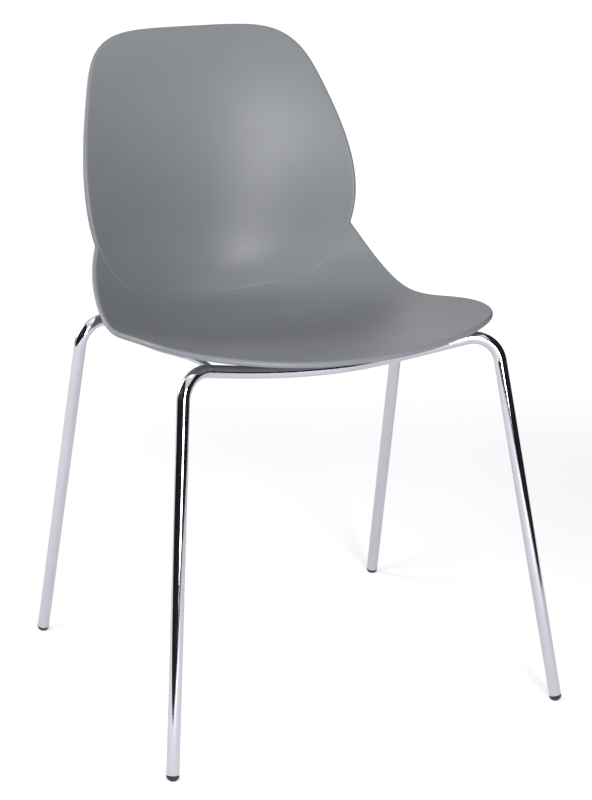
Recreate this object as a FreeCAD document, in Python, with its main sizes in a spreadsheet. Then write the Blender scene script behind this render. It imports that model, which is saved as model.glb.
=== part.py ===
import FreeCAD, Part
import math
import os
from FreeCAD import Vector, Placement, Rotation

# Moulded plastic shell chair on a chromed four-leg frame
# Millimetres, +Z up, the chair faces -Y, X = 0 is its plane of symmetry
# The floor is z = 0

SIZES = {
    # Seat shell
    "seat_height": 455.0,
    "shell_wall": 7.5,
    "panel_step": 1.5,
    "edge_round": 3.6,
    # Chromed tube of the legs
    "tube_od": 16.0,
    "tube_wall": 1.5,
    # Front legs: corner where leg and crossbar would meet, lean per mm of height
    # A level is a height above seat_height, less the wall and half the tube
    "front_corner_x": 208.7,
    "front_corner_y": -194.4,
    "front_corner_level": 37.6,
    "front_lean_in": 0.118,
    "front_lean_back": 0.169,
    "front_bend_radius": 35.0,
    # Front crossbar: middle point, rearward and downward slope at the bend
    "front_bar_y": -171.8,
    "front_bar_level": 10.5,
    "front_bar_back": 0.343,
    "front_bar_drop": 0.242,
    # Rear legs and crossbar
    "rear_corner_x": 230.4,
    "rear_corner_y": 88.4,
    "rear_corner_level": 43.7,
    "rear_lean_in": 0.055,
    "rear_lean_front": 0.293,
    "rear_bend_radius": 28.0,
    "rear_bar_y": 110.0,
    "rear_bar_level": -22.1,
    "rear_bar_back": 0.58,
    "rear_bar_drop": 0.50,
    # Side rails under the shell, inboard of the front corners
    "rail_od": 8.0,
    "rail_inset": 46.6,
    "rail_gap": 2.0,
    # Mounting points: bosses on the shell, tabs on the frame
    "mount_x": 95.0,
    "boss_d": 18.0,
    "front_boss_len": 9.0,
    "rear_boss_len": 9.0,
    "tab_thick": 3.0,
    "tab_width": 30.0,
    # M6 screw, washer and threaded insert
    "screw_d": 6.0,
    "screw_head_d": 11.5,
    "screw_head_len": 3.6,
    "screw_socket": 4.0,
    "screw_reach": 8.5,
    "washer_od": 12.5,
    "washer_thick": 1.2,
    "insert_od": 8.0,
    "insert_len": 10.0,
    "fit_gap": 0.1,
    # Foot plug
    "foot_dome": 7.0,
    "foot_cut": 0.9,
    "foot_collar": 1.5,
    "plug_len": 18.0,
    "plug_gap": 0.05,
}

# The shell follows S(x, v) = C(v) + D(v) (x / 200)^2
# C is the rail on the symmetry plane and D the change from it at x = 200
# Both are cubic splines through the control points (y, z) below, front to top
# The heights of C are above seat_height
HALF = 200.0
CENTRE = [
    (-261.0, 28.5), (-214.0, 19.0), (-113.5, 12.0), (58.5, -24.0), (157.0, -13.0),
    (251.0, 11.0), (225.0, 240.5), (274.0, 355.0), (287.5, 376.0),
]
SWEEP = [
    (8.5, 23.5), (2.5, 24.0), (10.0, 24.0), (-33.0, 35.5), (-64.0, 38.5),
    (-101.0, 63.0), (-64.0, -44.5), (-23.0, 5.5), (5.0, 9.0),
]
# Outlines on the shell, right half, as control points (x, v)
SEAT_EDGE = [
    (0.0, 0.015), (91.0, 0.015), (196.0, 0.050), (235.0, 0.124), (226.0, 0.273),
    (215.5, 0.397), (204.0, 0.602), (175.5, 0.752), (90.0, 0.804), (0.0, 0.804),
]
BACK_EDGE = [
    (0.0, 0.969), (107.0, 0.969), (154.0, 0.931), (169.5, 0.890), (198.5, 0.8135),
    (190.0, 0.690), (142.0, 0.585), (91.0, 0.591), (0.0, 0.591),
]
SURFACE_X = 250.0
# Where the mounting bosses sit along the shell, as v
FRONT_MOUNT_V = 0.131
REAR_MOUNT_V = 0.41
# Where the side rails follow the shell, as v
RAIL_V = [0.26, 0.34]

OUT = "parts"


# Document and sheet

os.makedirs(OUT, exist_ok=True)
doc = FreeCAD.newDocument("shell_chair")
sheet = doc.addObject("Spreadsheet::Sheet", "sizes")
for row, (name, value) in enumerate(SIZES.items(), start=1):
    sheet.set("A%d" % row, name)
    sheet.set("B%d" % row, str(value))
    sheet.setAlias("B%d" % row, name)
doc.recompute()


def size(name):
    return float(getattr(sheet, name))


def bind(obj, prop, text):
    """Bind a property to an expression in which sizes stand as plain words."""
    words = sorted(SIZES, key=len, reverse=True)
    out = ""
    i = 0
    while i < len(text):
        hit = next((w for w in words if text.startswith(w, i)), None)
        if hit:
            out += "sizes." + hit
            i += len(hit)
        else:
            out += text[i]
            i += 1
    obj.setExpression(prop, out)


# Shell surface

def shell_surface():
    """Exact spline surface of S(x, v): parabolas across, cubic along."""
    edge = (SURFACE_X / HALF) ** 2

    def rail(x, share):
        points = []
        for c, d in zip(CENTRE, SWEEP):
            height = size("seat_height") + c[1] + share * d[1]
            points.append(Vector(x, c[0] + share * d[0], height))
        return points

    rows = [rail(-SURFACE_X, edge), rail(0.0, -edge), rail(SURFACE_X, edge)]
    spans = len(CENTRE) - 3
    knots = [i / spans for i in range(spans + 1)]
    mults = [4] + [1] * (spans - 1) + [4]
    surface = Part.BSplineSurface()
    surface.buildFromPolesMultsKnots(
        rows, [3, 3], mults, [0.0, 1.0], knots, False, False, 2, 3)
    return surface


SURFACE = shell_surface()


def across(x):
    return (x + SURFACE_X) / (2.0 * SURFACE_X)


def under_point(x, v, depth):
    """Point at this depth below the front face, and the normal to the front."""
    u = across(x)
    normal = SURFACE.normal(u, v)
    if normal.z < 0:
        normal = normal * -1.0
    return SURFACE.value(u, v) - normal * depth, normal


def leaf_face(edge):
    """Face on the shell surface inside a closed outline, mirrored about x = 0."""
    whole = edge + [(-x, v) for x, v in edge[-2:0:-1]]
    points = [FreeCAD.Base.Vector2d(across(x), v) for x, v in whole]
    curve = Part.Geom2d.BSplineCurve2d()
    count = len(points)
    curve.buildFromPolesMultsKnots(
        points, [1] * (count + 1), [float(i) for i in range(count + 1)], True, 3)
    face = Part.Face(SURFACE, Part.Wire([curve.toShape(SURFACE)]))
    face.validate()
    return face


def leaf_solid(edge, lift):
    """Sheet of the wall thickness, raised to the front by lift, edges rounded."""
    face = leaf_face(edge)
    if lift:
        face = face.makeOffsetShape(lift, 0.01, fill=False)
    solid = face.makeOffsetShape(-size("shell_wall"), 0.01, fill=True)
    rims = [e for e in solid.Edges if e.Length > 300.0]
    return solid.makeFillet(size("edge_round"), rims)


def feature(name, shape):
    obj = doc.addObject("Part::Feature", name)
    obj.Shape = shape
    return obj


# Helpers for document objects

def fuse(name, parts):
    obj = doc.addObject("Part::MultiFuse", name)
    obj.Shapes = parts
    return obj


def cut(name, base, tool):
    obj = doc.addObject("Part::Cut", name)
    obj.Base = base
    obj.Tool = tool
    return obj


def along(point, direction):
    return Placement(point, Rotation(Vector(0, 0, 1), direction))


def cylinder(name, place, radius, height):
    obj = doc.addObject("Part::Cylinder", name)
    obj.Placement = place
    bind(obj, "Radius", radius)
    bind(obj, "Height", height)
    return obj


# Mounting points: position on the underside and direction to the front face

def mount_points():
    """Name, point on the underside, direction up through the wall, boss length."""
    points = []
    for end, v in (("front", FRONT_MOUNT_V), ("rear", REAR_MOUNT_V)):
        for side, sign in (("left", -1.0), ("right", 1.0)):
            point, up = under_point(sign * size("mount_x"), v, size("shell_wall"))
            points.append((end + "_" + side, point, up, end + "_boss_len"))
    return points


MOUNTS = mount_points()


def build_shell():
    """Two leaves as one sheet, four moulded bosses and their insert holes."""
    bosses = []
    holes = []
    for name, point, up, length in MOUNTS:
        foot = point - up * size(length)
        bosses.append(cylinder(
            "boss_" + name, along(foot, up), "boss_d / 2", length + " + shell_wall / 2"))
        holes.append(cylinder(
            "hole_" + name, along(foot, up), "insert_od / 2", "insert_len + fit_gap"))
    doc.recompute()
    seat = leaf_solid(SEAT_EDGE, 0.0)
    back = leaf_solid(BACK_EDGE, size("panel_step"))
    sheet_solid = seat.fuse(back).Solids[0]
    bossed = sheet_solid.fuse([b.Shape for b in bosses])
    return feature("seat_shell", bossed.cut([h.Shape for h in holes]).Solids[0])


# Frame paths

def level(name):
    """Height of a tube's centre line under the shell."""
    return size("seat_height") + size(name) - size("shell_wall") - size("tube_od") / 2.0


def leg_path(end, lean, back):
    """Centre line of one U: leg, bend, bowed crossbar, bend, leg."""
    corner = Vector(size(end + "_corner_x"), size(end + "_corner_y"), level(end + "_corner_level"))
    foot = corner - lean * corner.z
    radius = size(end + "_bend_radius")
    up = Vector(lean)
    up.normalize()
    inward = Vector(-1.0, back, -size(end + "_bar_drop"))
    inward.normalize()
    turn = up.getAngle(inward)
    reach = radius * math.tan(turn / 2.0)
    start = foot + up * (size("foot_dome") + size("foot_collar") - size("foot_cut"))
    leg_top = corner - up * reach
    bar_end = corner + inward * reach
    middle = (leg_top + bar_end) * 0.5
    axis = corner - middle
    centre = corner - axis * (radius / math.cos(turn / 2.0) / axis.Length)
    toward = corner - centre
    toward.normalize()
    crown = centre + toward * radius

    def mirror(p):
        return Vector(-p.x, p.y, p.z)

    handle = bar_end + inward * (bar_end.x * 0.45)
    apex = Vector(
        0.0, 2.0 * size(end + "_bar_y") - handle.y, 2.0 * level(end + "_bar_level") - handle.z)
    bar = Part.BSplineCurve()
    bar.buildFromPolesMultsKnots(
        [bar_end, handle, apex, mirror(handle), mirror(bar_end)],
        [4, 1, 4], [0.0, 0.5, 1.0], False, 3)
    edges = [
        Part.makeLine(start, leg_top),
        Part.Arc(leg_top, crown, bar_end).toShape(),
        bar.toShape(),
        Part.Arc(mirror(bar_end), mirror(crown), mirror(leg_top)).toShape(),
        Part.makeLine(mirror(leg_top), mirror(start)),
    ]
    return Part.Wire(edges), start, up


def sweep(name, spine, start, direction, radius):
    ring = doc.addObject("Part::Circle", name + "_ring")
    ring.Placement = along(start, direction)
    bind(ring, "Radius", radius)
    obj = doc.addObject("Part::Sweep", name)
    obj.Sections = [ring]
    obj.Spine = (spine, ["Edge%d" % (i + 1) for i in range(len(spine.Shape.Edges))])
    obj.Solid = True
    obj.Frenet = False
    return obj


def build_leg(name, path):
    wire, start, up = path
    spine = feature(name + "_path", wire)
    outer = sweep(name + "_outer", spine, start, up, "tube_od / 2")
    inner = sweep(name + "_inner", spine, start, up, "tube_od / 2 - tube_wall")
    return cut(name, outer, inner), outer


FRONT_PATH = leg_path(
    "front", Vector(-size("front_lean_in"), size("front_lean_back"), 1.0),
    size("front_bar_back"))
REAR_PATH = leg_path(
    "rear", Vector(-size("rear_lean_in"), -size("rear_lean_front"), 1.0),
    size("rear_bar_back"))


def bar_point(path, x):
    """Highest point of a frame's centre line at this x."""
    corners = [(-900, 0), (900, 0), (900, 1200), (-900, 1200), (-900, 0)]
    sheet_at_x = Part.Face(Part.makePolygon([Vector(x, y, z) for y, z in corners]))
    hits = path[0].section(sheet_at_x).Vertexes
    return max((hit.Point for hit in hits), key=lambda p: p.z)


def build_rail(side, sign, front_outer, rear_outer):
    """Rod between the crossbars that follows the underside of the shell."""
    x = sign * (size("front_corner_x") - size("rail_inset"))
    depth = size("shell_wall") + size("rail_gap") + size("rail_od") / 2.0
    points = [bar_point(FRONT_PATH, x)]
    for v in RAIL_V:
        points.append(under_point(x, v, depth)[0])
    points.append(bar_point(REAR_PATH, x))
    curve = Part.BSplineCurve()
    curve.interpolate(points)
    spine = feature(side + "_rail_path", Part.Wire([curve.toShape()]))
    rod = sweep(side + "_rail_rod", spine, points[0], curve.tangent(0.0)[0], "rail_od / 2")
    saddle = cut(side + "_rail_saddle", rod, front_outer)
    return cut(side + "_side_rail", saddle, rear_outer)


def build_tab(mount, front_outer, rear_outer):
    """Plate under a boss that reaches the nearer crossbar."""
    name, point, up, length = mount
    end = name.split("_")[0]
    path = FRONT_PATH if end == "front" else REAR_PATH
    outer = front_outer if end == "front" else rear_outer
    seat = point - up * (size(length) + size("tab_thick"))
    target = bar_point(path, seat.x)
    reach = target - seat
    reach = reach - up * reach.dot(up)
    reach.x = 0.0
    span = reach.Length
    reach.normalize()
    side = reach.cross(up)
    side.normalize()
    ahead = up.cross(side)
    turn = Rotation(side, ahead, up, "ZXY")
    half = size("tab_width") / 2.0
    plate = doc.addObject("Part::Box", "plate_" + name)
    corner = seat - side * half - ahead * half
    if ahead.dot(reach) < 0:
        corner = seat - side * half - ahead * span
    plate.Placement = Placement(corner, turn)
    bind(plate, "Length", "tab_width")
    plate.Width = span + half
    bind(plate, "Height", "tab_thick")
    bore = cylinder(
        "bore_" + name, along(seat - up, up), "screw_d / 2 + fit_gap * 2", "tab_thick + 2")
    bored = cut("bored_" + name, plate, bore)
    return cut("mount_tab_" + name, bored, outer)


# Fasteners

def build_fasteners():
    """Screws, washers and inserts, one group of four solids each."""
    screws = []
    washers = []
    inserts = []
    for name, point, up, length in MOUNTS:
        boss = point - up * size(length)
        under = boss - up * size("tab_thick")
        below = under - up * size("washer_thick")
        head_end = below - up * size("screw_head_len")
        head = cylinder("head_" + name, along(head_end, up), "screw_head_d / 2", "screw_head_len")
        shank = cylinder(
            "shank_" + name, along(below, up), "screw_d / 2",
            "washer_thick + tab_thick + screw_reach")
        socket = doc.addObject("Part::Prism", "socket_" + name)
        socket.Polygon = 6
        socket.Placement = along(head_end, up)
        bind(socket, "Circumradius", "screw_socket * 0.577")
        bind(socket, "Height", "screw_head_len * 0.6")
        screws.append(cut("screw_" + name, fuse("blank_" + name, [head, shank]), socket))
        disc = cylinder("disc_" + name, along(below, up), "washer_od / 2", "washer_thick")
        eye = cylinder(
            "eye_" + name, along(below - up, up), "screw_d / 2 + fit_gap * 2",
            "washer_thick + 2")
        washers.append(cut("washer_" + name, disc, eye))
        sleeve = cylinder(
            "sleeve_" + name, along(boss, up), "insert_od / 2 - plug_gap", "insert_len")
        thread = cylinder(
            "thread_" + name, along(boss - up, up), "screw_d / 2 + fit_gap", "insert_len + 2")
        inserts.append(cut("insert_" + name, sleeve, thread))
    return {
        "shell_screws": screws,
        "screw_washers": washers,
        "threaded_inserts": inserts,
    }


# Feet

def build_foot(name, path, sign):
    """Plug with a domed end, revolved about the leg and cut flat at the floor."""
    wire, start, up = path
    place = Vector(sign * start.x, start.y, start.z)
    axis = Vector(sign * up.x, up.y, up.z)
    body = doc.addObject("PartDesign::Body", "body_" + name)
    sketch = body.newObject("Sketcher::SketchObject", "profile_" + name)
    planes = body.Origin.OriginFeatures
    sketch.AttachmentSupport = [([p for p in planes if p.Role == "XZ_Plane"][0], "")]
    sketch.MapMode = "FlatFace"
    radius = size("tube_od") / 2.0
    stem = radius - size("tube_wall") - size("plug_gap")
    collar = -size("foot_collar")
    low = collar - size("foot_dome")
    top = size("plug_len")
    points = [
        Vector(0, low, 0), Vector(radius, collar, 0),
        Vector(radius, 0, 0), Vector(stem, 0, 0), Vector(stem, top, 0), Vector(0, top, 0),
    ]
    dome = Part.Ellipse(Vector(0, collar, 0), radius, size("foot_dome"))
    sketch.addGeometry(Part.ArcOfEllipse(dome, -math.pi / 2.0, 0.0), False)
    for a, b in zip(points[1:], points[2:] + [points[0]]):
        sketch.addGeometry(Part.LineSegment(a, b), False)
    turned = body.newObject("PartDesign::Revolution", "turned_" + name)
    turned.Profile = sketch
    turned.ReferenceAxis = (sketch, ["V_Axis"])
    turned.Angle = 360.0
    body.Placement = along(place, axis)
    floor = doc.addObject("Part::Box", "floor_" + name)
    floor.Placement = Placement(Vector(place.x - 25, place.y - 25, -20), Rotation())
    floor.Length = 50
    floor.Width = 50
    floor.Height = 20
    return cut(name, body, floor)


# Build and export

def build_all():
    nodes = {}
    nodes["seat_shell"] = build_shell()
    nodes["front_leg_tube"], front_outer = build_leg("front_leg_tube", FRONT_PATH)
    nodes["rear_leg_tube"], rear_outer = build_leg("rear_leg_tube", REAR_PATH)
    for side, sign in (("left", -1.0), ("right", 1.0)):
        nodes[side + "_side_rail"] = build_rail(side, sign, front_outer, rear_outer)
    for mount in MOUNTS:
        nodes["mount_tab_" + mount[0]] = build_tab(mount, front_outer, rear_outer)
    for end, path in (("front", FRONT_PATH), ("rear", REAR_PATH)):
        for side, sign in (("left", -1.0), ("right", 1.0)):
            name = end + "_" + side + "_foot"
            nodes[name] = build_foot(name, path, sign)
    return nodes


nodes = build_all()
groups = build_fasteners()
doc.recompute()

for obj in doc.Objects:
    if "Invalid" in obj.State or "Error" in obj.State:
        raise RuntimeError("object failed: %s %s" % (obj.Name, obj.State))

for node, members in groups.items():
    nodes[node] = feature(node, Part.makeCompound([m.Shape for m in members]))

for node, obj in nodes.items():
    obj.Label = node
    shape = obj.Shape
    if shape.isNull() or not shape.isValid():
        raise RuntimeError("bad shape: " + node)
    print(node, "solids", len(shape.Solids), "volume", round(shape.Volume))
    shape.exportStep("%s/%s.step" % (OUT, node))
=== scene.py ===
import bpy
import bmesh
import math
import numpy as np
from mathutils import Matrix, Vector


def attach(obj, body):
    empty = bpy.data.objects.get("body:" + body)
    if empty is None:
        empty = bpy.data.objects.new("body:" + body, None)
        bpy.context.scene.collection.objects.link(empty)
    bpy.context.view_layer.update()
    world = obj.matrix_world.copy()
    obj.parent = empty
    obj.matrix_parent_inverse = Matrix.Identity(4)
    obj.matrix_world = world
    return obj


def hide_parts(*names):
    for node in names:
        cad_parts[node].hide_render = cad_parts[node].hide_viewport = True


# Moulded plastic shell chair on a chromed four-leg frame
# Sizes are in millimetres, and MM turns them into metres

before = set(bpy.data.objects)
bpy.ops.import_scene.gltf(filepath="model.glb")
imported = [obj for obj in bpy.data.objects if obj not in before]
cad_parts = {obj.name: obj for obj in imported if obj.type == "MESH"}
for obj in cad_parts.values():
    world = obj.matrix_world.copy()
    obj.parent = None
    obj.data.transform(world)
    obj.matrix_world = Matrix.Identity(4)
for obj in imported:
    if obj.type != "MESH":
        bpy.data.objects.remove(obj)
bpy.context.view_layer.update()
MM = 0.001

# Shell sheet
SEAT_HEIGHT = 455.0
SHELL_WALL = 7.5
PANEL_STEP = 1.5
EDGE_ROUND = 3.6
EDGE_STEPS = 6
SHARP_ANGLE = 35.0

# Mesh of each leaf: quads across and along the middle patch, and rings round it
SEAT_GRID = (72, 80)
BACK_GRID = (64, 60)
RINGS = 12
PATCH_SHARE = 0.72
OUTLINE_SAMPLES = 200

# Shell surface: S(x, v) = C(v) + D(v) (x / HALF)^2, v from the front lip to the top
# C and D are cubic splines through the control points (y, z) below
# The heights of C are above SEAT_HEIGHT
HALF = 200.0
CENTRE = [
    (-261.0, 28.5), (-214.0, 19.0), (-113.5, 12.0), (58.5, -24.0), (157.0, -13.0),
    (251.0, 11.0), (225.0, 240.5), (274.0, 355.0), (287.5, 376.0),
]
SWEEP = [
    (8.5, 23.5), (2.5, 24.0), (10.0, 24.0), (-33.0, 35.5), (-64.0, 38.5),
    (-101.0, 63.0), (-64.0, -44.5), (-23.0, 5.5), (5.0, 9.0),
]
# Outlines on the shell, right half, as control points (x, v)
SEAT_EDGE = [
    (0.0, 0.015), (91.0, 0.015), (196.0, 0.050), (235.0, 0.124), (226.0, 0.273),
    (215.5, 0.397), (204.0, 0.602), (175.5, 0.752), (90.0, 0.804), (0.0, 0.804),
]
BACK_EDGE = [
    (0.0, 0.969), (107.0, 0.969), (154.0, 0.931), (169.5, 0.890), (198.5, 0.8135),
    (190.0, 0.690), (142.0, 0.585), (91.0, 0.591), (0.0, 0.591),
]

# Mounting bosses under the seat
MOUNT_X = 95.0
MOUNT_V = (0.131, 0.41)
BOSS_D = 18.0
BOSS_LEN = 9.0
BOSS_EDGE = 0.8
BOSS_SIDES = 48
INSERT_OD = 8.0
INSERT_LEN = 10.1
HOLE_SIDES = 32

# Camera as found from the photograph
CAMERA_AT = (-1085.3, -2377.8, 1142.95)
CAMERA_AZIMUTH = -25.043
CAMERA_ELEVATION = 16.638
CAMERA_ROLL = 0.135
FOCAL_PIXELS = 2100.4
FRAME_HEIGHT_PIXELS = 800.0
SENSOR = 36.0


# Spline helpers

def clamped_weights(v, count):
    """Weights of the control points of a cubic spline held at both ends, at v from 0 to 1."""
    knots = np.concatenate([np.zeros(3), np.linspace(0.0, 1.0, count - 2), np.ones(3)])
    v = np.clip(np.asarray(v, float), 0.0, 1.0 - 1e-9)[:, None]
    weights = ((v >= knots[:-1]) & (v < knots[1:])).astype(float)
    for degree in (1, 2, 3):
        spread = knots[degree:] - knots[:-degree]
        safe = np.where(spread > 0.0, spread, 1.0)
        rise = np.where(spread > 0.0, (v - knots[:-degree]) / safe, 0.0)
        fall = np.where(spread > 0.0, (knots[degree:] - v) / safe, 0.0)
        weights = rise[:, :-1] * weights[:, :-1] + fall[:, 1:] * weights[:, 1:]
    return weights


def closed_spline(poles, samples_each):
    """Points of the closed even cubic spline of these control points."""
    poles = np.asarray(poles, float)
    t = (np.arange(samples_each) / samples_each)[:, None]
    points = []
    for i in range(len(poles)):
        a, b, c, d = (poles[(i + k) % len(poles)] for k in (-1, 0, 1, 2))
        points.append((
            (1.0 - t) ** 3 * a + (3.0 * t ** 3 - 6.0 * t ** 2 + 4.0) * b
            + (-3.0 * t ** 3 + 3.0 * t ** 2 + 3.0 * t + 1.0) * c + t ** 3 * d) / 6.0)
    return np.concatenate(points)


# Shell surface

def shell_point(xv):
    """Points on the front of the seat leaf, in millimetres, for rows of (x, v)."""
    weights = clamped_weights(xv[:, 1], len(CENTRE))
    share = ((xv[:, 0] / HALF) ** 2)[:, None]
    side = weights @ np.array(CENTRE) + share * (weights @ np.array(SWEEP))
    side[:, 1] += SEAT_HEIGHT
    return np.column_stack([xv[:, 0], side])


def shell_slopes(xv):
    """Change of the shell point along x and along v."""
    step = np.array([[0.5, 0.0], [0.0, 0.0005]])
    along = []
    for change in step:
        ahead = shell_point(xv + change)
        behind = shell_point(xv - change)
        along.append((ahead - behind) / (2.0 * change.max()))
    return along


def shell_normal(xv):
    """Unit normals towards the sitter."""
    across, up = shell_slopes(xv)
    normal = np.cross(across, up)
    return normal / np.linalg.norm(normal, axis=1, keepdims=True)


def leaf_outline(edge, count):
    """Outline of a leaf as rows of (x, v), evenly spaced on the real shell."""
    whole = edge + [(-x, v) for x, v in edge[-2:0:-1]]
    fine = closed_spline(whole, OUTLINE_SAMPLES)
    shut = np.vstack([fine, fine[:1]])
    runs = np.linalg.norm(np.diff(shell_point(shut), axis=0), axis=1)
    length = np.concatenate([[0.0], np.cumsum(runs)])
    wanted = np.linspace(0.0, length[-1], count, endpoint=False)
    return np.column_stack([np.interp(wanted, length, shut[:, k]) for k in (0, 1)])


def outward(xv):
    """Unit directions out of the outline, within the shell."""
    points = shell_point(xv)
    tangent = np.roll(points, -1, axis=0) - np.roll(points, 1, axis=0)
    side = np.cross(tangent, shell_normal(xv))
    side /= np.linalg.norm(side, axis=1, keepdims=True)
    away = points - points.mean(axis=0)
    facing = np.sign(np.sum(side * away, axis=1).sum())
    return side * facing


def inset_outline(xv, distance):
    """The outline moved inward on the shell by a real distance."""
    across, up = shell_slopes(xv)
    move = outward(xv) * -distance
    aa = np.sum(across * across, axis=1)
    bb = np.sum(up * up, axis=1)
    ab = np.sum(across * up, axis=1)
    ma = np.sum(move * across, axis=1)
    mb = np.sum(move * up, axis=1)
    det = aa * bb - ab * ab
    dx = (ma * bb - mb * ab) / det
    dv = (mb * aa - ma * ab) / det
    return xv + np.column_stack([dx, dv])


def filled_patch(ring, columns, rows):
    """Even grid of (x, v) inside a closed ring that starts at its bottom middle."""
    ring = np.roll(ring, columns // 2, axis=0)
    bottom = ring[0:columns + 1]
    right = ring[columns:columns + rows + 1]
    top = ring[columns + rows:2 * columns + rows + 1][::-1]
    left = np.vstack([ring[2 * columns + rows:], ring[:1]])[::-1]
    u = np.linspace(0.0, 1.0, columns + 1)[None, :, None]
    w = np.linspace(0.0, 1.0, rows + 1)[:, None, None]
    sides = (1 - w) * bottom[None] + w * top[None] + (1 - u) * left[:, None] + u * right[:, None]
    corners = (
        (1 - u) * (1 - w) * bottom[0] + u * (1 - w) * bottom[-1]
        + (1 - u) * w * top[0] + u * w * top[-1])
    return sides - corners


# Mesh helpers

def new_piece(name, points, faces):
    """Object from points in millimetres, faces smooth."""
    mesh = bpy.data.meshes.new(name)
    mesh.from_pydata((np.asarray(points) * MM).tolist(), [], faces)
    mesh.polygons.foreach_set("use_smooth", [True] * len(mesh.polygons))
    mesh.update()
    piece = bpy.data.objects.new(name, mesh)
    bpy.context.scene.collection.objects.link(piece)
    return piece


def strip_faces(lower, upper):
    """Quads between two closed rows of vertex numbers."""
    count = len(lower)
    faces = []
    for i in range(count):
        j = (i + 1) % count
        faces.append((lower[i], lower[j], upper[j], upper[i]))
    return faces


def face_outward(piece):
    """Turn the faces of a closed mesh to point out."""
    work = bmesh.new()
    work.from_mesh(piece.data)
    bmesh.ops.remove_doubles(work, verts=work.verts, dist=0.001 * MM)
    bmesh.ops.recalc_face_normals(work, faces=work.faces)
    work.to_mesh(piece.data)
    work.free()


def boolean(base, tool, operation):
    """Join or cut base with tool, and remove tool."""
    step = base.modifiers.new("step", "BOOLEAN")
    step.operation = operation
    step.solver = "EXACT"
    step.object = tool
    view = bpy.context.evaluated_depsgraph_get()
    result = bpy.data.meshes.new_from_object(base.evaluated_get(view))
    base.modifiers.clear()
    old = base.data
    base.data = result
    bpy.data.meshes.remove(old)
    bpy.data.objects.remove(tool)


def turned(name, profile, sides, place):
    """Closed turned mesh: profile rows of (radius, height) along the local Z of place."""
    points = []
    for radius, height in profile:
        for k in range(sides):
            angle = 2.0 * math.pi * k / sides
            local = Vector((radius * math.cos(angle), radius * math.sin(angle), height))
            points.append(tuple(place @ local))
    faces = []
    rows = [list(range(r * sides, (r + 1) * sides)) for r in range(len(profile))]
    for lower, upper in zip(rows[:-1], rows[1:]):
        faces += strip_faces(lower, upper)
    faces.append(tuple(rows[0]))
    faces.append(tuple(rows[-1]))
    piece = new_piece(name, points, faces)
    face_outward(piece)
    return piece


# Shell

def leaf(name, edge, lift, grid_size):
    """One closed sheet of the shell: front face, rounded edge, rear face."""
    columns, rows = grid_size
    count = 2 * (columns + rows)
    rim = leaf_outline(edge, count)
    inner = inset_outline(rim, EDGE_ROUND)
    middle = np.array([0.0, 0.5 * (inner[:, 1].min() + inner[:, 1].max())])
    shares = np.linspace(1.0, PATCH_SHARE, RINGS)
    rings = [middle + (inner - middle) * share for share in shares]
    patch = filled_patch(rings[-1], columns, rows)
    flat = np.vstack(rings[:-1] + [patch.reshape(-1, 2)])
    surface = shell_point(flat)
    normal = shell_normal(flat)
    front = surface + normal * lift
    rear = surface - normal * (SHELL_WALL - lift)
    size = len(flat)

    # Rings run round the patch, whose border is the last ring
    ring_rows = [list(range(k * count, (k + 1) * count)) for k in range(len(rings) - 1)]
    start = (len(rings) - 1) * count
    grid = [[start + r * (columns + 1) + c for c in range(columns + 1)] for r in range(rows + 1)]
    border = grid[0][:-1] + [row[-1] for row in grid[:-1]]
    border += grid[-1][:0:-1] + [row[0] for row in grid[:0:-1]]
    ring_rows.append(list(np.roll(border, -(columns // 2))))
    faces = []
    for outer_row, inner_row in zip(ring_rows[:-1], ring_rows[1:]):
        faces += strip_faces(outer_row, inner_row)
    for r in range(rows):
        for c in range(columns):
            faces.append((grid[r][c], grid[r][c + 1], grid[r + 1][c + 1], grid[r + 1][c]))
    faces += [tuple(i + size for i in face) for face in faces]

    # Rounded edge from the front rim to the rear rim
    edge_points = shell_point(rim)
    edge_normal = shell_normal(rim)
    edge_out = outward(rim)
    profile = []
    for k in range(1, EDGE_STEPS + 1):
        turn = 0.5 * math.pi * k / EDGE_STEPS
        profile.append((math.sin(turn), lift - EDGE_ROUND + EDGE_ROUND * math.cos(turn)))
    for k in range(EDGE_STEPS, 0, -1):
        turn = 0.5 * math.pi * k / EDGE_STEPS
        depth = lift - SHELL_WALL + EDGE_ROUND - EDGE_ROUND * math.cos(turn)
        profile.append((math.sin(turn), depth))
    points = [front, rear]
    last = ring_rows[0]
    base = 2 * size
    for reach, height in profile:
        out = edge_out * (EDGE_ROUND * (reach - 1.0))
        points.append(edge_points + out + edge_normal * height)
        row = list(range(base, base + count))
        faces += strip_faces(last, row)
        last = row
        base += count
    faces += strip_faces(last, [i + size for i in ring_rows[0]])
    piece = new_piece(name, np.vstack(points), faces)
    face_outward(piece)
    return piece


def boss_places():
    """Places of the four bosses: foot of the boss, local Z up into the seat."""
    places = []
    for v in MOUNT_V:
        for side in (-1.0, 1.0):
            spot = np.array([[side * MOUNT_X, v]])
            up = Vector(shell_normal(spot)[0])
            foot = Vector(shell_point(spot)[0]) - up * (SHELL_WALL + BOSS_LEN)
            turn = up.to_track_quat("Z", "Y").to_matrix().to_4x4()
            places.append(Matrix.Translation(foot) @ turn)
    return places


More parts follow.
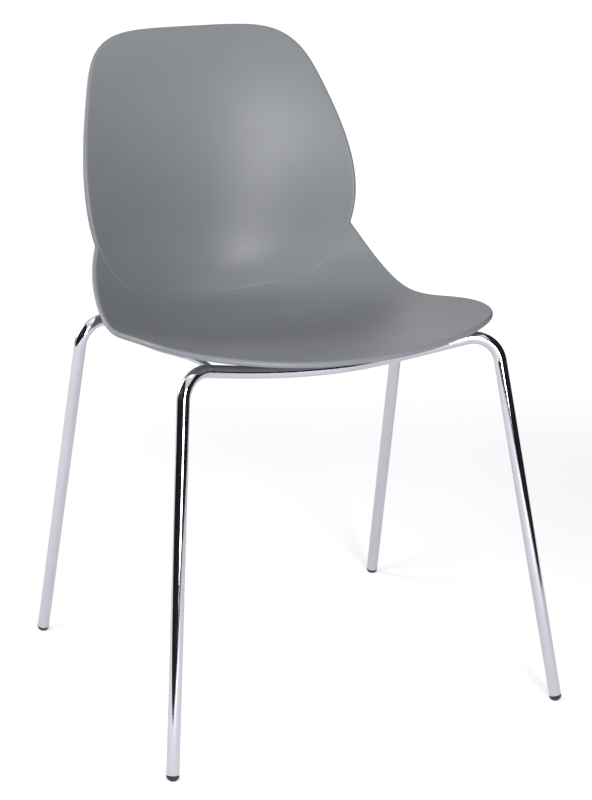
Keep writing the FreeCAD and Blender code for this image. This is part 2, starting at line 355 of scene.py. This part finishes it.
def build_shell():
    """Seat leaf and back leaf as one moulding, with four bosses underneath."""
    shell = leaf("moulded_shell", SEAT_EDGE, 0.0, SEAT_GRID)
    back = leaf("back_leaf", BACK_EDGE, PANEL_STEP, BACK_GRID)
    boolean(shell, back, "UNION")
    radius = BOSS_D / 2.0
    top = BOSS_LEN + SHELL_WALL / 2.0
    for place in boss_places():
        boss = turned("boss", [
            (radius - BOSS_EDGE, 0.0), (radius, BOSS_EDGE), (radius, top)], BOSS_SIDES, place)
        boolean(shell, boss, "UNION")
        hole = turned("hole", [
            (INSERT_OD / 2.0, -1.0), (INSERT_OD / 2.0, INSERT_LEN)], HOLE_SIDES, place)
        boolean(shell, hole, "DIFFERENCE")
    shell.data.polygons.foreach_set("use_smooth", [True] * len(shell.data.polygons))
    shell.data.set_sharp_from_angle(angle=math.radians(SHARP_ANGLE))
    return shell


shell = build_shell()
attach(shell, "root")
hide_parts("seat_shell")


# Node helpers

def add(tree, kind, **values):
    """New node, with its named sockets set."""
    node = tree.nodes.new(kind)
    for name, value in values.items():
        node.inputs[name.replace("_", " ")].default_value = value
    return node


def new_group(name, inputs, outputs):
    """Empty node group with number inputs (name, value) and number outputs."""
    tree = bpy.data.node_groups.new(name, "ShaderNodeTree")
    for label, value in inputs:
        socket = tree.interface.new_socket(label, in_out="INPUT", socket_type="NodeSocketFloat")
        socket.default_value = value
    for label in outputs:
        tree.interface.new_socket(label, in_out="OUTPUT", socket_type="NodeSocketFloat")
    start = tree.nodes.new("NodeGroupInput")
    end = tree.nodes.new("NodeGroupOutput")
    return tree, start, end


def place_group(tree, group, **values):
    node = tree.nodes.new("ShaderNodeGroup")
    node.node_tree = group
    for name, value in values.items():
        node.inputs[name.replace("_", " ")].default_value = value
    return node


def calculate(tree, operation, first, second, clamp=False):
    """Math node. Each of first and second is a socket or a number."""
    node = tree.nodes.new("ShaderNodeMath")
    node.operation = operation
    node.use_clamp = clamp
    for socket, value in zip(node.inputs, (first, second)):
        if isinstance(value, (int, float)):
            socket.default_value = value
        else:
            tree.links.new(value, socket)
    return node.outputs[0]


def ramp_mask(tree, value, low, high):
    """0 below low, 1 above high, smooth between."""
    node = tree.nodes.new("ShaderNodeMapRange")
    node.interpolation_type = "SMOOTHSTEP"
    node.inputs["From Min"].default_value = low
    node.inputs["From Max"].default_value = high
    tree.links.new(value, node.inputs["Value"])
    return node.outputs["Result"]


def object_coordinates(tree, stretch=(1.0, 1.0, 1.0)):
    """Place on the piece in metres, stretched along the axes."""
    source = tree.nodes.new("ShaderNodeTexCoord")
    mapping = tree.nodes.new("ShaderNodeMapping")
    mapping.inputs["Scale"].default_value = stretch
    tree.links.new(source.outputs["Object"], mapping.inputs["Vector"])
    return mapping.outputs["Vector"]


# Shared effects

def make_fine_grain():
    """Even grain of a spark-eroded mould or of brushed metal."""
    tree, start, end = new_group("fine_grain", [("Scale", 1500.0)], ["Height"])
    noise = add(tree, "ShaderNodeTexNoise", Detail=3.0, Roughness=0.6)
    tree.links.new(object_coordinates(tree), noise.inputs["Vector"])
    tree.links.new(start.outputs["Scale"], noise.inputs["Scale"])
    tree.links.new(noise.outputs["Fac"], end.inputs["Height"])
    return tree


def make_drift():
    """Slow change over the surface, for tone and for polish."""
    tree, start, end = new_group("slow_drift", [("Scale", 6.0), ("Low", 0.0), ("High", 1.0)], ["Value"])
    noise = add(tree, "ShaderNodeTexNoise", Detail=4.0, Roughness=0.55)
    tree.links.new(object_coordinates(tree), noise.inputs["Vector"])
    tree.links.new(start.outputs["Scale"], noise.inputs["Scale"])
    node = tree.nodes.new("ShaderNodeMapRange")
    node.inputs["From Min"].default_value = 0.3
    node.inputs["From Max"].default_value = 0.7
    tree.links.new(noise.outputs["Fac"], node.inputs["Value"])
    tree.links.new(start.outputs["Low"], node.inputs["To Min"])
    tree.links.new(start.outputs["High"], node.inputs["To Max"])
    tree.links.new(node.outputs["Result"], end.inputs["Value"])
    return tree


def make_scuffs():
    """Thin wandering scratches in patches."""
    tree, start, end = new_group(
        "scuff_marks", [("Scale", 40.0), ("Width", 0.012), ("Cover", 0.55)], ["Mask"])
    coordinates = object_coordinates(tree, (1.0, 1.0, 0.35))
    lines = add(tree, "ShaderNodeTexNoise", Detail=1.5, Roughness=0.4, Distortion=0.6)
    tree.links.new(coordinates, lines.inputs["Vector"])
    tree.links.new(start.outputs["Scale"], lines.inputs["Scale"])
    offset = calculate(tree, "SUBTRACT", lines.outputs["Fac"], 0.5)
    distance = calculate(tree, "ABSOLUTE", offset, 0.0)
    closeness = calculate(tree, "DIVIDE", distance, start.outputs["Width"])
    line = calculate(tree, "SUBTRACT", 1.0, closeness, clamp=True)
    patches = add(tree, "ShaderNodeTexNoise", Scale=14.0, Detail=2.0)
    tree.links.new(object_coordinates(tree), patches.inputs["Vector"])
    above = calculate(tree, "SUBTRACT", patches.outputs["Fac"], start.outputs["Cover"])
    patch = calculate(tree, "MULTIPLY", above, 8.0, clamp=True)
    mask = calculate(tree, "MULTIPLY", line, patch)
    tree.links.new(mask, end.inputs["Mask"])
    return tree


def make_dust():
    """Fine dust specks."""
    tree, start, end = new_group("dust_specks", [("Scale", 700.0), ("Cover", 0.66)], ["Mask"])
    noise = add(tree, "ShaderNodeTexNoise", Detail=2.0, Roughness=0.7)
    tree.links.new(object_coordinates(tree), noise.inputs["Vector"])
    tree.links.new(start.outputs["Scale"], noise.inputs["Scale"])
    above = calculate(tree, "SUBTRACT", noise.outputs["Fac"], start.outputs["Cover"])
    mask = calculate(tree, "MULTIPLY", above, 9.0, clamp=True)
    tree.links.new(mask, end.inputs["Mask"])
    return tree


FINE_GRAIN = make_fine_grain()
SLOW_DRIFT = make_drift()
SCUFFS = make_scuffs()
DUST = make_dust()


# Materials

def new_material(name):
    material = bpy.data.materials.new(name)
    material.use_nodes = True
    tree = material.node_tree
    shader = tree.nodes["Principled BSDF"]
    return material, tree, shader


def blend_colours(tree, mask, first, second):
    """Colour that goes from first to second as mask rises."""
    node = tree.nodes.new("ShaderNodeMix")
    node.data_type = "RGBA"
    for socket, value in ((node.inputs[6], first), (node.inputs[7], second)):
        if isinstance(value, tuple):
            socket.default_value = (*value, 1.0)
        else:
            tree.links.new(value, socket)
    tree.links.new(mask, node.inputs[0])
    return node.outputs[2]


def add_bump(tree, height, depth, under=None):
    """Bump of a real depth in millimetres, over an earlier bump if there is one."""
    node = tree.nodes.new("ShaderNodeBump")
    node.inputs["Distance"].default_value = depth * MM
    tree.links.new(height, node.inputs["Height"])
    if under is not None:
        tree.links.new(under, node.inputs["Normal"])
    return node.outputs["Normal"]


def moulded_grey():
    """Grey polypropylene with a fine moulded grain."""
    material, tree, shader = new_material("moulded_grey_polypropylene")
    tone = place_group(tree, SLOW_DRIFT, Scale=5.0)
    body = blend_colours(tree, tone.outputs["Value"], (0.204, 0.213, 0.231), (0.222, 0.232, 0.251))
    scuff = place_group(tree, SCUFFS, Scale=55.0, Width=0.008, Cover=0.58)
    soft = calculate(tree, "MULTIPLY", scuff.outputs["Mask"], 0.12)
    worn = blend_colours(tree, soft, body, (0.36, 0.37, 0.39))
    dust = place_group(tree, DUST, Scale=900.0, Cover=0.7)
    faint = calculate(tree, "MULTIPLY", dust.outputs["Mask"], 0.10)
    dusty = blend_colours(tree, faint, worn, (0.42, 0.42, 0.41))
    tree.links.new(dusty, shader.inputs["Base Color"])
    polish = place_group(tree, SLOW_DRIFT, Scale=9.0, Low=0.41, High=0.48)
    dulled = calculate(tree, "MULTIPLY", scuff.outputs["Mask"], 0.1)
    rough = calculate(tree, "ADD", polish.outputs["Value"], dulled)
    tree.links.new(rough, shader.inputs["Roughness"])
    grain = place_group(tree, FINE_GRAIN, Scale=1400.0)
    normal = add_bump(tree, grain.outputs["Height"], 0.03)
    tree.links.new(normal, shader.inputs["Normal"])
    shader.inputs["IOR"].default_value = 1.49
    return material


def chromed_steel():
    """Bright chrome plating over drawn steel tube."""
    material, tree, shader = new_material("bright_chrome_plate")
    tone = place_group(tree, SLOW_DRIFT, Scale=12.0)
    plate = blend_colours(tree, tone.outputs["Value"], (0.56, 0.565, 0.60), (0.60, 0.605, 0.64))
    dust = place_group(tree, DUST, Scale=1100.0, Cover=0.72)
    faint = calculate(tree, "MULTIPLY", dust.outputs["Mask"], 0.25)
    dusty = blend_colours(tree, faint, plate, (0.35, 0.35, 0.36))
    tree.links.new(dusty, shader.inputs["Base Color"])
    shader.inputs["Metallic"].default_value = 1.0
    smear = place_group(tree, SLOW_DRIFT, Scale=30.0, Low=0.04, High=0.10)
    scratch = place_group(tree, SCUFFS, Scale=120.0, Width=0.010, Cover=0.60)
    dulled = calculate(tree, "MULTIPLY", scratch.outputs["Mask"], 0.15)
    rough = calculate(tree, "ADD", smear.outputs["Value"], dulled)
    tree.links.new(rough, shader.inputs["Roughness"])
    waver = place_group(tree, FINE_GRAIN, Scale=45.0)
    normal = add_bump(tree, waver.outputs["Height"], 0.04)
    tree.links.new(normal, shader.inputs["Normal"])
    return material


def foot_black():
    """Black polyethylene of the feet, scuffed where it slides."""
    material, tree, shader = new_material("black_foot_plastic")
    tone = place_group(tree, SLOW_DRIFT, Scale=60.0)
    body = blend_colours(tree, tone.outputs["Value"], (0.010, 0.010, 0.011), (0.018, 0.018, 0.019))
    scuff = place_group(tree, SCUFFS, Scale=220.0, Width=0.02, Cover=0.48)
    soft = calculate(tree, "MULTIPLY", scuff.outputs["Mask"], 0.35)
    worn = blend_colours(tree, soft, body, (0.11, 0.11, 0.11))
    tree.links.new(worn, shader.inputs["Base Color"])
    polish = place_group(tree, SLOW_DRIFT, Scale=80.0, Low=0.34, High=0.46)
    tree.links.new(polish.outputs["Value"], shader.inputs["Roughness"])
    grain = place_group(tree, FINE_GRAIN, Scale=1800.0)
    tree.links.new(add_bump(tree, grain.outputs["Height"], 0.03), shader.inputs["Normal"])
    return material


def zinc_steel():
    """Zinc plated steel of the screws and washers."""
    material, tree, shader = new_material("zinc_plated_steel")
    tone = place_group(tree, SLOW_DRIFT, Scale=120.0)
    plate = blend_colours(tree, tone.outputs["Value"], (0.52, 0.53, 0.52), (0.62, 0.62, 0.60))
    tree.links.new(plate, shader.inputs["Base Color"])
    shader.inputs["Metallic"].default_value = 1.0
    polish = place_group(tree, SLOW_DRIFT, Scale=150.0, Low=0.26, High=0.40)
    tree.links.new(polish.outputs["Value"], shader.inputs["Roughness"])
    grain = place_group(tree, FINE_GRAIN, Scale=2200.0)
    tree.links.new(add_bump(tree, grain.outputs["Height"], 0.02), shader.inputs["Normal"])
    return material


def insert_brass():
    """Turned brass of the threaded inserts."""
    material, tree, shader = new_material("turned_brass")
    tone = place_group(tree, SLOW_DRIFT, Scale=150.0)
    metal = blend_colours(tree, tone.outputs["Value"], (0.62, 0.43, 0.18), (0.72, 0.52, 0.24))
    tree.links.new(metal, shader.inputs["Base Color"])
    shader.inputs["Metallic"].default_value = 1.0
    polish = place_group(tree, SLOW_DRIFT, Scale=200.0, Low=0.25, High=0.38)
    tree.links.new(polish.outputs["Value"], shader.inputs["Roughness"])
    grain = place_group(tree, FINE_GRAIN, Scale=2600.0)
    tree.links.new(add_bump(tree, grain.outputs["Height"], 0.02), shader.inputs["Normal"])
    return material


FINISHES = {
    "shell_plastic": moulded_grey(),
    "chrome_tube": chromed_steel(),
    "foot_plastic": foot_black(),
    "fastener_steel": zinc_steel(),
    "insert_brass": insert_brass(),
}


def finish_pieces():
    """Every kept node and the shell get the finish of their slot."""
    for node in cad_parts.values():
        for slot in node.material_slots:
            slot.material = FINISHES[slot.name.split(".")[0]]
    shell.data.materials.clear()
    shell.data.materials.append(FINISHES["shell_plastic"])


finish_pieces()


# Studio

FLOOR_HALF = 15.0
FLOOR_TONE = (0.79, 0.79, 0.83)
FLOOR_GLOW_NEAR = 0.51
FLOOR_GLOW_FAR = 1.0
FLOOR_GLOW_MIRROR = 0.36
FADE_FROM = 0.8
FADE_TO = 2.4
AMBIENT = 0.12
ROOM_HALF_WIDTH = 1.45
ROOM_FRONT = 3.7
ROOM_BACK = 0.9
ROOM_HEIGHT = 2.7
DARK_CLOTH = (0.006, 0.006, 0.007, 1.0)
# Softboxes round the chair: azimuth, distance and height, width and height of the face, power
# Azimuth is 0 in front of the chair and positive to its left hand
AIM_HEIGHT = 0.6
SOFTBOXES = {
    "key_softbox": (-6.0, 2.7, 1.05, 0.8, 1.6, 62.0),
    "left_softbox": (-78.0, 2.3, 1.55, 1.4, 1.2, 30.0),
    "rear_softbox": (-140.0, 2.6, 1.4, 1.4, 1.2, 26.0),
}
OVERHEAD_AT = (0.2, -0.2, 2.8)
OVERHEAD_AIM = (0.0, 0.0, 0.4)
OVERHEAD_SIZE = 1.8
OVERHEAD_POWER = 9.0


def light_path(tree, *kinds):
    """1 for rays of these kinds."""
    path = tree.nodes.new("ShaderNodeLightPath")
    seen = path.outputs[kinds[0]]
    for kind in kinds[1:]:
        seen = calculate(tree, "MAXIMUM", seen, path.outputs[kind])
    return seen


def build_floor():
    """Pale floor that keeps the shadow and fades to white further out."""
    half = FLOOR_HALF / MM
    corners = [(-half, -half, 0.0), (half, -half, 0.0), (half, half, 0.0), (-half, half, 0.0)]
    floor = new_piece("studio_floor", corners, [(0, 1, 2, 3)])
    material = bpy.data.materials.new("pale_studio_floor")
    material.use_nodes = True
    tree = material.node_tree
    tree.nodes.clear()
    output = tree.nodes.new("ShaderNodeOutputMaterial")
    matt = add(tree, "ShaderNodeBsdfDiffuse", Color=(*FLOOR_TONE, 1.0))
    glow = tree.nodes.new("ShaderNodeEmission")
    source = tree.nodes.new("ShaderNodeTexCoord")
    far = tree.nodes.new("ShaderNodeVectorMath")
    far.operation = "LENGTH"
    tree.links.new(source.outputs["Object"], far.inputs[0])
    fade = ramp_mask(tree, far.outputs["Value"], FADE_FROM, FADE_TO)
    rise = calculate(tree, "MULTIPLY", fade, FLOOR_GLOW_FAR - FLOOR_GLOW_NEAR)
    direct = calculate(tree, "ADD", rise, FLOOR_GLOW_NEAR)
    shown = calculate(tree, "MULTIPLY", direct, light_path(tree, "Is Camera Ray", "Is Transmission Ray"))
    mirrored = calculate(tree, "MULTIPLY", light_path(tree, "Is Glossy Ray"), FLOOR_GLOW_MIRROR)
    tree.links.new(calculate(tree, "MAXIMUM", shown, mirrored), glow.inputs["Strength"])
    both = tree.nodes.new("ShaderNodeAddShader")
    tree.links.new(matt.outputs[0], both.inputs[0])
    tree.links.new(glow.outputs[0], both.inputs[1])
    tree.links.new(both.outputs[0], output.inputs["Surface"])
    floor.data.materials.append(material)
    return floor


def build_dark_room():
    """Dark side walls and front wall of the studio, seen only in reflections."""
    side = ROOM_HALF_WIDTH / MM
    front = -ROOM_FRONT / MM
    back = ROOM_BACK / MM
    top = ROOM_HEIGHT / MM
    plan = [(-side, back), (-side, front), (side, front), (side, back)]
    points = [(x, y, z) for z in (0.0, top) for x, y in plan]
    faces = [(i, i + 1, i + 5, i + 4) for i in range(3)]
    room = new_piece("dark_studio", points, faces)
    material, tree, shader = new_material("dark_studio_cloth")
    shader.inputs["Base Color"].default_value = DARK_CLOTH
    shader.inputs["Roughness"].default_value = 1.0
    room.data.materials.append(material)
    room.visible_camera = False
    room.visible_diffuse = False
    room.visible_transmission = False
    room.visible_shadow = False
    return room


def build_world():
    """White to the eye and in mirrors, a softer white as light."""
    world = bpy.data.worlds.new("studio_white")
    world.use_nodes = True
    tree = world.node_tree
    back = tree.nodes["Background"]
    seen = light_path(tree, "Is Camera Ray", "Is Glossy Ray", "Is Transmission Ray")
    gap = calculate(tree, "MULTIPLY", seen, 1.0 - AMBIENT)
    tree.links.new(calculate(tree, "ADD", gap, AMBIENT), back.inputs["Strength"])
    back.inputs["Color"].default_value = (1.0, 1.0, 1.0, 1.0)
    bpy.context.scene.world = world


def soft_lamp(name, at, toward, width, height, power):
    """Rectangular softbox in metres, aimed at a point of the chair."""
    data = bpy.data.lights.new(name, "AREA")
    data.shape = "RECTANGLE"
    data.size = width
    data.size_y = height
    data.energy = power
    lamp = bpy.data.objects.new(name, data)
    lamp.location = at
    aim = Vector(toward) - Vector(at)
    lamp.rotation_euler = aim.to_track_quat("-Z", "Y").to_euler()
    bpy.context.scene.collection.objects.link(lamp)
    return lamp


def build_lamps():
    for name, (azimuth, distance, height, width, tall, power) in SOFTBOXES.items():
        turn = math.radians(azimuth)
        at = (distance * math.sin(turn), -distance * math.cos(turn), height)
        soft_lamp(name, at, (0.0, 0.0, AIM_HEIGHT), width, tall, power)
    soft_lamp(
        "overhead_softbox", OVERHEAD_AT, OVERHEAD_AIM, OVERHEAD_SIZE, OVERHEAD_SIZE, OVERHEAD_POWER)


def build_camera():
    data = bpy.data.cameras.new("photo_camera")
    data.sensor_width = SENSOR
    data.lens = SENSOR * FOCAL_PIXELS / FRAME_HEIGHT_PIXELS
    data.clip_start = 0.05
    data.clip_end = 60.0
    camera = bpy.data.objects.new("photo_camera", data)
    turn = Matrix.Rotation(math.radians(CAMERA_AZIMUTH), 4, "Z")
    tip = Matrix.Rotation(math.radians(90.0 - CAMERA_ELEVATION), 4, "X")
    roll = Matrix.Rotation(math.radians(-CAMERA_ROLL), 4, "Z")
    place = Matrix.Translation(Vector(CAMERA_AT) * MM)
    camera.matrix_world = place @ turn @ tip @ roll
    bpy.context.scene.collection.objects.link(camera)
    bpy.context.scene.camera = camera


build_floor()
build_dark_room()
build_world()
build_lamps()
build_camera()
bpy.context.scene.view_settings.view_transform = "Standard"
